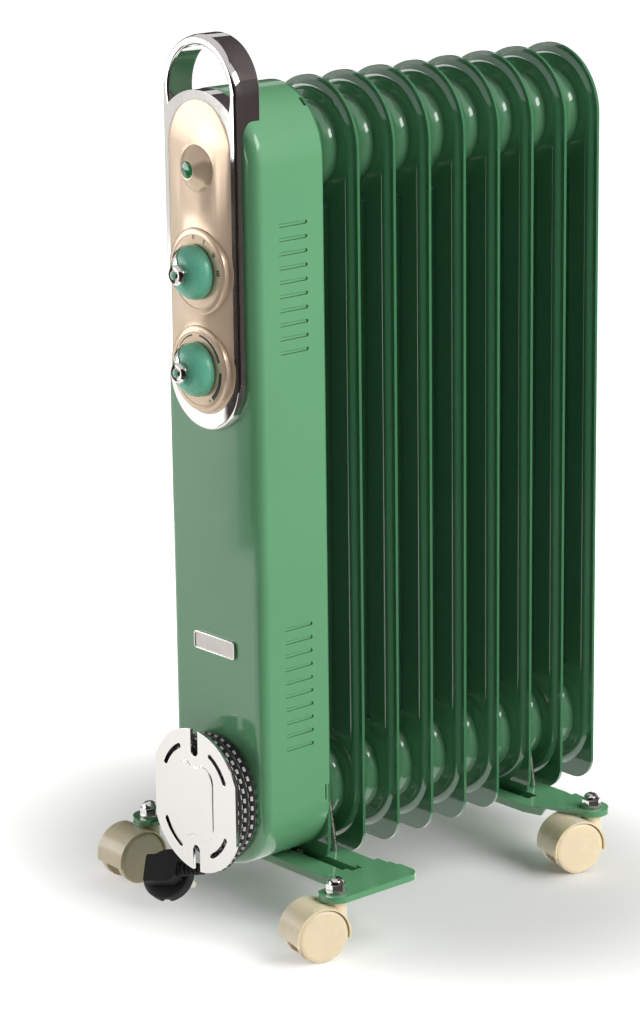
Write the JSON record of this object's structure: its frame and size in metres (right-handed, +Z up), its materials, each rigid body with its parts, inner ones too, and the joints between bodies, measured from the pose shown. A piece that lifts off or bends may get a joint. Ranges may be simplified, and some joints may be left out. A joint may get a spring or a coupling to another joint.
{
  "type": "oil-filled radiator",
  "caption": "Free-standing oil-filled radiator with upright sections, a control cover with two dials, carry handle, front cord reel and swivel castors.",
  "frame": {"origin": "centre of the part's box at floor level, without the plug and lead", "axes": "+X to the right seen from the controls, +Y from the controls back along the sections, +Z up; the wheels stand on Z = 0"},
  "size_m": [0.248, 0.3896, 0.655],
  "materials": {
    "green_enamel": "gloss stove enamel",
    "chrome": "polished",
    "cream_panel": "satin",
    "teal_knob": "gloss",
    "green_lens": "clear gloss",
    "pale_moulding": "matte",
    "black_moulding": "matte",
    "zinc_steel": "zinc plated",
    "bright_brass": "nickel plated brass",
    "wire_sleeve": "matte",
    "black_rubber": "fine matte",
    "braid": "black and white textile braid",
    "castor_cream": "gloss"
  },
  "bodies": {
    "root": {"section_1": "green_enamel", "section_2": "green_enamel", "section_3": "green_enamel", "section_4": "green_enamel", "section_5": "green_enamel", "section_6": "green_enamel", "section_7": "green_enamel", "section_8": "green_enamel", "section_9": "green_enamel", "front_cover": "green_enamel", "handle_frame": "chrome", "control_panel": "cream_panel", "lamp_lens": "green_lens", "lamp_holder": "pale_moulding", "control_bracket": "zinc_steel", "selector_switch": "black_moulding", "thermostat_body": "pale_moulding", "thermal_cutout": "zinc_steel", "terminal_block": "pale_moulding", "wiring": "wire_sleeve", "heating_element": "zinc_steel", "filler_plug": "zinc_steel", "badge_plate": "chrome", "reel_drum": "black_moulding", "reel_plate": "chrome", "reel_screws": "zinc_steel", "cord_gland": "black_rubber", "cover_screws": "zinc_steel", "front_foot": "green_enamel", "rear_foot": "green_enamel", "front_u_bolt": "zinc_steel", "rear_u_bolt": "zinc_steel", "wing_nuts": "zinc_steel", "castor_stems": "zinc_steel", "castor_washers": "zinc_steel", "cap_nuts": "chrome", "cord_core": "braid", "cord_winding": "braid", "cord_lead": "braid", "strain_relief": "black_rubber", "plug": "black_rubber", "plug_pins": "bright_brass"},
    "selector": {"selector_spindle": "zinc_steel", "selector_knob": "teal_knob", "selector_pointer": "chrome"},
    "thermostat": {"thermostat_spindle": "zinc_steel", "thermostat_knob": "teal_knob", "thermostat_pointer": "chrome"},
    "castor_front_left": {"hood_front_left": "castor_cream"},
    "castor_front_right": {"hood_front_right": "castor_cream"},
    "castor_rear_left": {"hood_rear_left": "castor_cream"},
    "castor_rear_right": {"hood_rear_right": "castor_cream"},
    "wheel_pair_front_left": {"wheels_front_left": "castor_cream"},
    "wheel_pair_front_right": {"wheels_front_right": "castor_cream"},
    "wheel_pair_rear_left": {"wheels_rear_left": "castor_cream"},
    "wheel_pair_rear_right": {"wheels_rear_right": "castor_cream"}
  },
  "joints": [
    {"name": "selector_turn", "type": "hinge", "parent": "root", "child": "selector", "pos_m": [0, -0.1764, 0.489], "axis": [0, 1, 0], "range_deg": [0, 122]},
    {"name": "thermostat_turn", "type": "hinge", "parent": "root", "child": "thermostat", "pos_m": [0, -0.1764, 0.419], "axis": [0, 1, 0], "range_deg": [-20, 185]},
    {"name": "front_left_swivel", "type": "hinge", "parent": "root", "child": "castor_front_left", "pos_m": [-0.108, -0.1414, 0.03], "axis": [0, 0, 1], "continuous": true},
    {"name": "front_left_roll", "type": "hinge", "parent": "castor_front_left", "child": "wheel_pair_front_left", "pos_m": [-0.10861, -0.15889, 0.02], "axis": [-0.9994, 0.0349, 0], "continuous": true},
    {"name": "front_right_swivel", "type": "hinge", "parent": "root", "child": "castor_front_right", "pos_m": [0.108, -0.1414, 0.03], "axis": [0, 0, 1], "continuous": true},
    {"name": "front_right_roll", "type": "hinge", "parent": "castor_front_right", "child": "wheel_pair_front_right", "pos_m": [0.10406, -0.15845, 0.02], "axis": [-0.9744, 0.225, 0], "continuous": true},
    {"name": "rear_left_swivel", "type": "hinge", "parent": "root", "child": "castor_rear_left", "pos_m": [-0.108, 0.1188, 0.03], "axis": [0, 0, 1], "continuous": true},
    {"name": "rear_left_roll", "type": "hinge", "parent": "castor_rear_left", "child": "wheel_pair_rear_left", "pos_m": [-0.108, 0.1013, 0.02], "axis": [-1, 0, 0], "continuous": true},
    {"name": "rear_right_swivel", "type": "hinge", "parent": "root", "child": "castor_rear_right", "pos_m": [0.108, 0.1188, 0.03], "axis": [0, 0, 1], "continuous": true},
    {"name": "rear_right_roll", "type": "hinge", "parent": "castor_rear_right", "child": "wheel_pair_rear_right", "pos_m": [0.10318, 0.10198, 0.02], "axis": [-0.9613, 0.2756, 0], "continuous": true}
  ]
}
